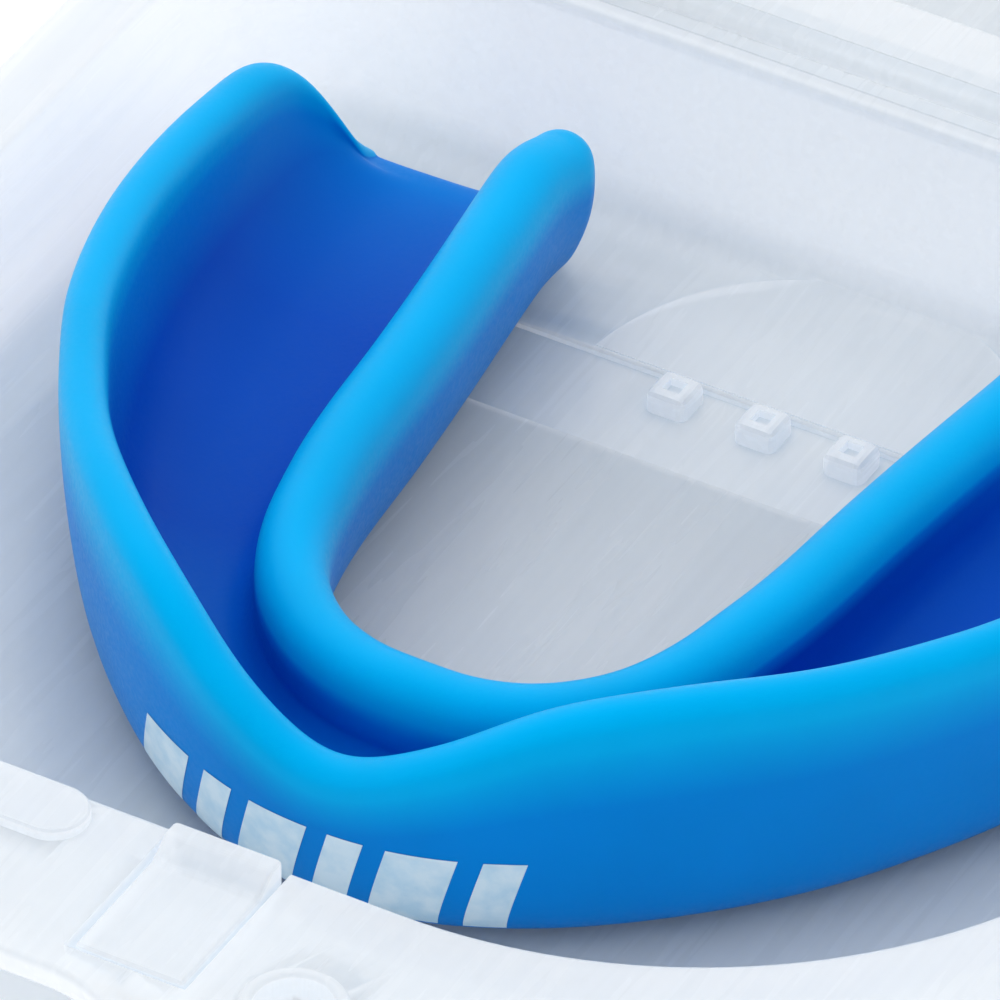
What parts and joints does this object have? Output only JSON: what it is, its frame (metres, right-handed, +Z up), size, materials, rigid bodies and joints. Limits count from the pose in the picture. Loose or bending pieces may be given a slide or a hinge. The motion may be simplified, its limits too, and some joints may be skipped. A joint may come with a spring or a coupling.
{
  "type": "mouthguard with carry case",
  "caption": "U-shaped moulded sports mouthguard lying in the base tray of an open frosted clamshell case with a living hinge and a snap latch tongue.",
  "frame": {"origin": "on the table under the hinge line, midway between the two sides", "axes": "+X to the right seen from the latch, +Y from the base tray over the hinge to the lid, +Z up"},
  "size_m": [0.0878, 0.1792, 0.0178],
  "materials": {
    "frosted_polypropylene": "frosted translucent polypropylene, satin",
    "blue_eva": "satin moulded EVA with a fine matte grain"
  },
  "bodies": {
    "base": {"case_base": "frosted_polypropylene", "living_hinge": "frosted_polypropylene"},
    "lid": {"case_lid": "frosted_polypropylene"},
    "latch_tongue": {"latch_tongue": "frosted_polypropylene"},
    "mouthguard": {"mouthguard_body": "blue_eva"}
  },
  "joints": [
    {"name": "lid_hinge", "type": "hinge", "parent": "base", "child": "lid", "pos_m": [0, 0, 0.0126], "axis": [-1, 0, 0], "range_deg": [-180, 0]},
    {"name": "latch_flex", "type": "hinge", "parent": "base", "child": "latch_tongue", "pos_m": [0, -0.082, 0.0116], "axis": [1, 0, 0], "range_deg": [-8, 0], "stiffness_Nm_per_rad": 0.05},
    {"name": "mouthguard_lift", "type": "slide", "parent": "base", "child": "mouthguard", "axis": [0, 0, 1], "range_m": [0, 0.04]}
  ]
}
